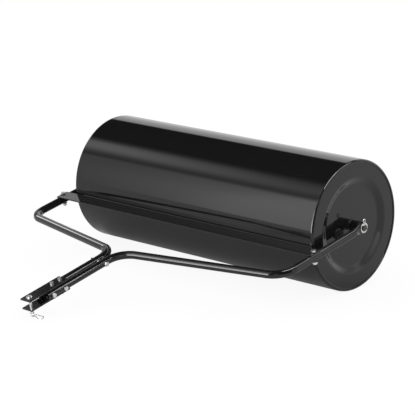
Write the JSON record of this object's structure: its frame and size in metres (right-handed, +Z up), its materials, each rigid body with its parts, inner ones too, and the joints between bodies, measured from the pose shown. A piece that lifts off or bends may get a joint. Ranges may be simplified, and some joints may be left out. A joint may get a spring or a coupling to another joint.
{
  "type": "tow-behind lawn roller",
  "caption": "Water-ballast steel drum turning in a bent tube towing frame with a scraper bar and a two-plate pin hitch.",
  "frame": {"origin": "on the ground, at the middle of the base of the bounding box", "axes": "+X to the right along the drum's axle, -Y forward to the hitch, +Z up"},
  "size_m": [1.075, 1.0726, 0.3995],
  "materials": {
    "drum_paint": "gloss black powder coat",
    "frame_paint": "gloss black powder coat on tube and flat bar",
    "zinc": "bright zinc plate",
    "dark_steel": "dark bar steel, turned ends",
    "nylon": "natural nylon",
    "black_plastic": "moulded black plastic",
    "rubber": "plain black rubber"
  },
  "bodies": {
    "tow_frame": {"axle_clip_left": "zinc", "axle_clip_right": "zinc", "axle_rod": "dark_steel", "axle_washer_inner_left": "zinc", "axle_washer_inner_right": "zinc", "axle_washer_outer_left": "zinc", "axle_washer_outer_right": "zinc", "frame_tube_left": "frame_paint", "frame_tube_right": "frame_paint", "hitch_plate_bolt_1": "zinc", "hitch_plate_bolt_2": "zinc", "hitch_plate_lower": "frame_paint", "hitch_plate_nut_1": "zinc", "hitch_plate_nut_2": "zinc", "hitch_plate_upper": "frame_paint", "hitch_plate_washer_lower_1": "zinc", "hitch_plate_washer_lower_2": "zinc", "hitch_plate_washer_upper_1": "zinc", "hitch_plate_washer_upper_2": "zinc", "scraper_bar": "frame_paint", "scraper_bolt_1": "zinc", "scraper_bolt_2": "zinc", "scraper_nut_1": "zinc", "scraper_nut_2": "zinc", "scraper_washer_lower_1": "zinc", "scraper_washer_lower_2": "zinc", "scraper_washer_upper_1": "zinc", "scraper_washer_upper_2": "zinc", "tongue_bolt_1": "zinc", "tongue_bolt_2": "zinc", "tongue_bolt_3": "zinc", "tongue_nut_1": "zinc", "tongue_nut_2": "zinc", "tongue_nut_3": "zinc", "tongue_spacer_1": "zinc", "tongue_spacer_2": "zinc", "tongue_spacer_3": "zinc", "tongue_washer_lower_1": "zinc", "tongue_washer_lower_2": "zinc", "tongue_washer_lower_3": "zinc", "tongue_washer_upper_1": "zinc", "tongue_washer_upper_2": "zinc", "tongue_washer_upper_3": "zinc"},
    "drum": {"drum_shell": "drum_paint", "drum_end_left": "drum_paint", "drum_end_right": "drum_paint", "axle_sleeve": "drum_paint", "hub_bush_left": "nylon", "hub_bush_right": "nylon", "filler_socket": "drum_paint"},
    "filler_seal": {"filler_gasket": "rubber"},
    "filler_plug": {"filler_plug": "black_plastic"},
    "hitch_pin": {"hitch_pin": "zinc"},
    "hitch_clip": {"hitch_clip": "zinc"}
  },
  "joints": [
    {"name": "drum_spin", "type": "hinge", "parent": "tow_frame", "child": "drum", "pos_m": [0, 0.33663, 0.19973], "axis": [1, 0, 0], "continuous": true},
    {"name": "filler_plug_draw", "type": "slide", "parent": "drum", "child": "filler_seal", "axis": [1, 0, 0], "range_m": [0, 0.014]},
    {"name": "filler_plug_turn", "type": "hinge", "parent": "filler_seal", "child": "filler_plug", "pos_m": [0.4838, 0.27384, 0.1829], "axis": [1, 0, 0], "range_deg": [0, 1260]},
    {"name": "hitch_pin_swivel", "type": "hinge", "parent": "tow_frame", "child": "hitch_pin", "pos_m": [0, -0.51553, 0.04314], "axis": [0, -0.2324, 0.9726], "continuous": true},
    {"name": "hitch_clip_draw", "type": "slide", "parent": "hitch_pin", "child": "hitch_clip", "axis": [1, 0, 0], "range_m": [0, 0.035]}
  ],
  "couplings": [
    {"joint": "filler_plug_turn", "follows": "filler_plug_draw", "rad_per_m": 1570.8}
  ]
}
